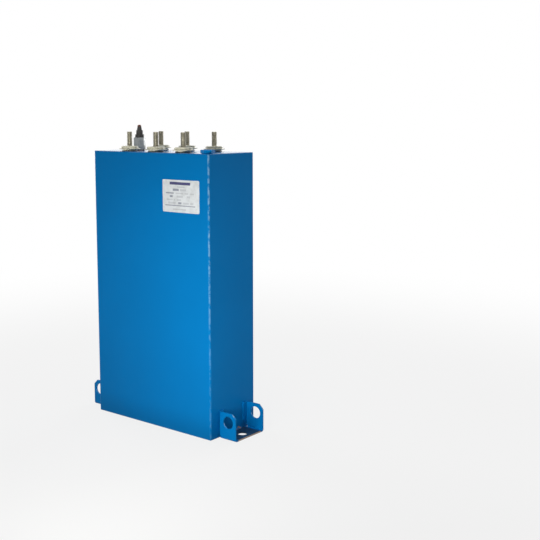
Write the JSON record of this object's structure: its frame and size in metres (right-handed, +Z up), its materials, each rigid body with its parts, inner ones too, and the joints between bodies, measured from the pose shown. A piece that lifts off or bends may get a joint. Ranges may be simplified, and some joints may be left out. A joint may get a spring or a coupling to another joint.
{
  "type": "box film capacitor",
  "caption": "Tall welded steel box capacitor with stud terminals on moulded insulators, a pressure switch, a filler plug, a label and folded side feet with eyes.",
  "frame": {"origin": "centre of the underside, in the plane of the case bottom and both feet", "axes": "+Z up, towards the terminals; -Y towards the face with the label; +X to the right of someone facing that label"},
  "size_m": [0.432, 0.1424, 0.6484],
  "materials": {
    "case_paint": "satin blue powder coat over steel sheet",
    "foot_paint": "satin blue powder coat, bare on the floor's cut edge",
    "plug_paint": "satin blue paint over steel",
    "label_foil": "pale printed label, matt",
    "insulator_resin": "ivory cast resin, satin",
    "stud_metal": "plated steel, warm grey",
    "gasket_rubber": "black rubber, matt",
    "strap_copper": "plain copper strip",
    "ring_nut_brass": "turned brass",
    "inner_steel": "zinc-plated steel",
    "switch_zinc": "grey zinc plate, satin",
    "boot_rubber": "black rubber, matt",
    "tip_plastic": "red-brown moulded plastic",
    "seal_copper": "copper sealing washer",
    "pressboard": "calendered pressboard",
    "winding_film": "wound metallised film, zinc-sprayed ends"
  },
  "bodies": {
    "root": {"case_wrapper": "case_paint", "lid": "case_paint", "base_pan": "case_paint", "foot_left": "foot_paint", "foot_right": "foot_paint", "rating_label": "label_foil", "insulator_front_left": "insulator_resin", "insulator_front_centre": "insulator_resin", "insulator_front_right": "insulator_resin", "insulator_rear_left": "insulator_resin", "insulator_rear_centre": "insulator_resin", "insulator_rear_right": "insulator_resin", "terminal_stud_front_left": "stud_metal", "terminal_stud_front_centre": "stud_metal", "terminal_stud_front_right": "stud_metal", "terminal_stud_rear_left": "stud_metal", "terminal_stud_rear_centre": "stud_metal", "terminal_stud_rear_right": "stud_metal", "gasket_front_left": "gasket_rubber", "gasket_front_centre": "gasket_rubber", "gasket_front_right": "gasket_rubber", "gasket_rear_left": "gasket_rubber", "gasket_rear_centre": "gasket_rubber", "gasket_rear_right": "gasket_rubber", "strap_front_left": "strap_copper", "strap_front_centre": "strap_copper", "strap_front_right": "strap_copper", "strap_rear_left": "strap_copper", "strap_rear_centre": "strap_copper", "strap_rear_right": "strap_copper", "ring_nuts": "ring_nut_brass", "clamp_nuts": "inner_steel", "lug_washers": "inner_steel", "switch_body": "switch_zinc", "switch_boot": "boot_rubber", "switch_tip": "tip_plastic", "switch_seal": "seal_copper", "switch_bush": "inner_steel", "filler_plug": "plug_paint", "filler_seal": "plug_paint", "filler_bush": "inner_steel", "case_liner": "pressboard", "base_board": "pressboard", "partition_boards": "pressboard", "winding_left_1": "winding_film", "winding_left_2": "winding_film", "winding_left_3": "winding_film", "winding_left_4": "winding_film", "winding_centre_1": "winding_film", "winding_centre_2": "winding_film", "winding_centre_3": "winding_film", "winding_centre_4": "winding_film", "winding_right_1": "winding_film", "winding_right_2": "winding_film", "winding_right_3": "winding_film", "winding_right_4": "winding_film"}
  },
  "joints": []
}
